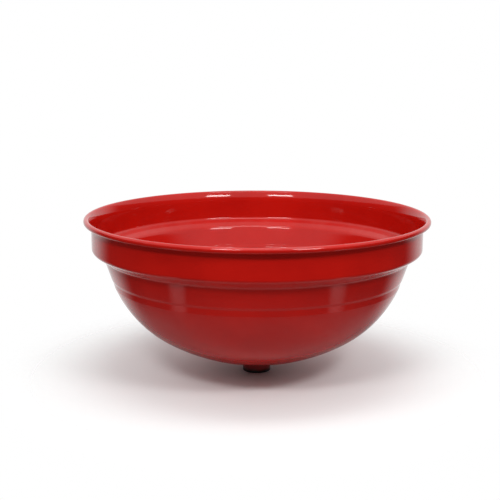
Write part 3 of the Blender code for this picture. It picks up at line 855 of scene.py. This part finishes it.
# --------------------------------------------------------------------------------------------------
# lift_knob. Moulded black plastic knob with twelve grip flutes, waisted for the fingers and screwed to
# the strainer from below.
def grip_flutes():
    """Geometry Nodes: presses even flutes into a turned piece outside a radius, from bottom to top."""
    tree = node_group("grip_flutes", "GeometryNodeTree",
                      {"Piece": "Geometry", "Count": "Int", "Finish": "Material", "Depth": "Float",
                       "Radius": "Float", "Bottom": "Float", "Top": "Float"},
                      {"Geometry": "Geometry"})
    given = node(tree, "NodeGroupInput").outputs
    height, radius, outward, angle = polar(tree)
    wave = calc(tree, "COSINE", calc(tree, "MULTIPLY", angle, given["Count"]))
    ribs = smooth_step(tree, wave, -0.2, 1.0)
    middle = calc(tree, "MULTIPLY", calc(tree, "ADD", given["Bottom"], given["Top"]), 0.5)
    rise = smooth_step(tree, height, given["Bottom"], middle)
    fall = smooth_step(tree, height, given["Top"], middle)
    band = calc(tree, "MULTIPLY", rise, fall)
    outer = node(tree, "FunctionNodeCompare", {0: radius, 1: given["Radius"]}, operation="GREATER_THAN")
    return pressed_in(tree, given, outer.outputs[0], outward, calc(tree, "MULTIPLY", band, ribs))


knob_plastic = matt_material("knob_plastic", (0.030, 0.030, 0.032, 1), (0.018, 0.018, 0.020, 1),
                             scale=45.0, roughness=0.40, depth=0.010 * MM)
KNOB_BOTTOM = STRAINER_TOP + 0.3 * MM
KNOB_HEIGHT = 22.0 * MM
KNOB_RADIUS = 13.0 * MM
KNOB_WAIST = 7.0 * MM
KNOB_HOLE_DEPTH = 12.3 * MM
FLUTE_DEPTH = 0.7 * MM
knob = turned("lift_knob_look", spaced(rounded([
    (0.0, KNOB_BOTTOM + KNOB_HEIGHT, 0.0),
    (KNOB_RADIUS, KNOB_BOTTOM + KNOB_HEIGHT, 0.25 * KNOB_HEIGHT),
    (KNOB_RADIUS, KNOB_BOTTOM + 0.55 * KNOB_HEIGHT, 0.12 * KNOB_HEIGHT),
    (KNOB_WAIST, KNOB_BOTTOM + 0.35 * KNOB_HEIGHT, 1.2 * MM),
    (KNOB_FOOT, KNOB_BOTTOM, 0.3 * MM),
    (SCREW_HOLE, KNOB_BOTTOM, 0.3 * MM),
    (SCREW_HOLE, KNOB_BOTTOM + KNOB_HOLE_DEPTH, 0.4 * MM),
    (0.0, KNOB_BOTTOM + KNOB_HOLE_DEPTH, 0.0),
], count=8), gap=0.6 * MM), knob_plastic, steps=180, closed=False)
add_nodes(knob, grip_flutes(), finish=knob_plastic, count=12, depth=FLUTE_DEPTH, radius=0.8 * KNOB_RADIUS,
          bottom=KNOB_BOTTOM + 0.42 * KNOB_HEIGHT, top=KNOB_BOTTOM + 0.94 * KNOB_HEIGHT)
make_mesh(knob)
dress(knob, "strainer")


# --------------------------------------------------------------------------------------------------
# knob_washer and knob_screw. A pressed washer and a slotted round head screw, both zinc plated, under
# the strainer plate.
WASHER_GAP = 0.3 * MM
KNOB_WASHER_TOP = PLATE_UNDERSIDE - WASHER_GAP
KNOB_WASHER_BOTTOM = KNOB_WASHER_TOP - 1.0 * MM
KNOB_WASHER_RADIUS = 6.0 * MM
knob_washer = turned("knob_washer_look",
                     flat_ring(SCREW_HOLE, KNOB_WASHER_RADIUS, KNOB_WASHER_BOTTOM, KNOB_WASHER_TOP,
                               (0.1 * MM, 0.1 * MM, 0.3 * MM, 0.2 * MM)), zinc_plate, steps=60)
make_mesh(knob_washer)
dress(knob_washer, "strainer")

SCREW_RADIUS = 2.5 * MM
SCREW_HEAD_RADIUS = 4.5 * MM
SCREW_HEAD_TOP = KNOB_WASHER_BOTTOM - WASHER_GAP
SCREW_HEAD_BOTTOM = SCREW_HEAD_TOP - 2.8 * MM
SCREW_TIP = KNOB_BOTTOM + 12.0 * MM
SCREW_PITCH = 0.8 * MM
SCREW_THREAD_DEPTH = 0.42 * MM
SLOT_WIDTH = 1.2 * MM
SLOT_DEPTH = 1.3 * MM
screw = turned("knob_screw_look", spaced(rounded([
    (0.0, SCREW_TIP, 0.0),
    (SCREW_RADIUS, SCREW_TIP, 0.4 * MM),
    (SCREW_RADIUS, SCREW_HEAD_TOP, 0.0),
    (SCREW_HEAD_RADIUS, SCREW_HEAD_TOP, 0.2 * MM),
    (SCREW_HEAD_RADIUS, SCREW_HEAD_BOTTOM, 1.4 * MM),
    (0.0, SCREW_HEAD_BOTTOM, 0.0),
], count=6), gap=0.08 * MM), zinc_plate, steps=48, closed=False)
add_nodes(screw, thread_tree, finish=zinc_plate, pitch=SCREW_PITCH, depth=SCREW_THREAD_DEPTH,
          radius=SCREW_RADIUS, bottom=SCREW_HEAD_TOP + 1.6 * MM, top=SCREW_TIP - 0.4 * MM)
slot_size = Matrix.Diagonal((4 * SCREW_HEAD_RADIUS, SLOT_WIDTH, 2 * SLOT_DEPTH, 1.0))
slot_place = Matrix.Translation((0.0, 0.0, SCREW_HEAD_BOTTOM))
build = bmesh.new()
bmesh.ops.create_cube(build, size=1.0, matrix=slot_place @ slot_size)
slot_tool = cutter("slot_tool", build)
cut_away(screw, slot_tool)
make_mesh(screw, sharp=28.0)
bpy.data.objects.remove(slot_tool)
dress(screw, "strainer")
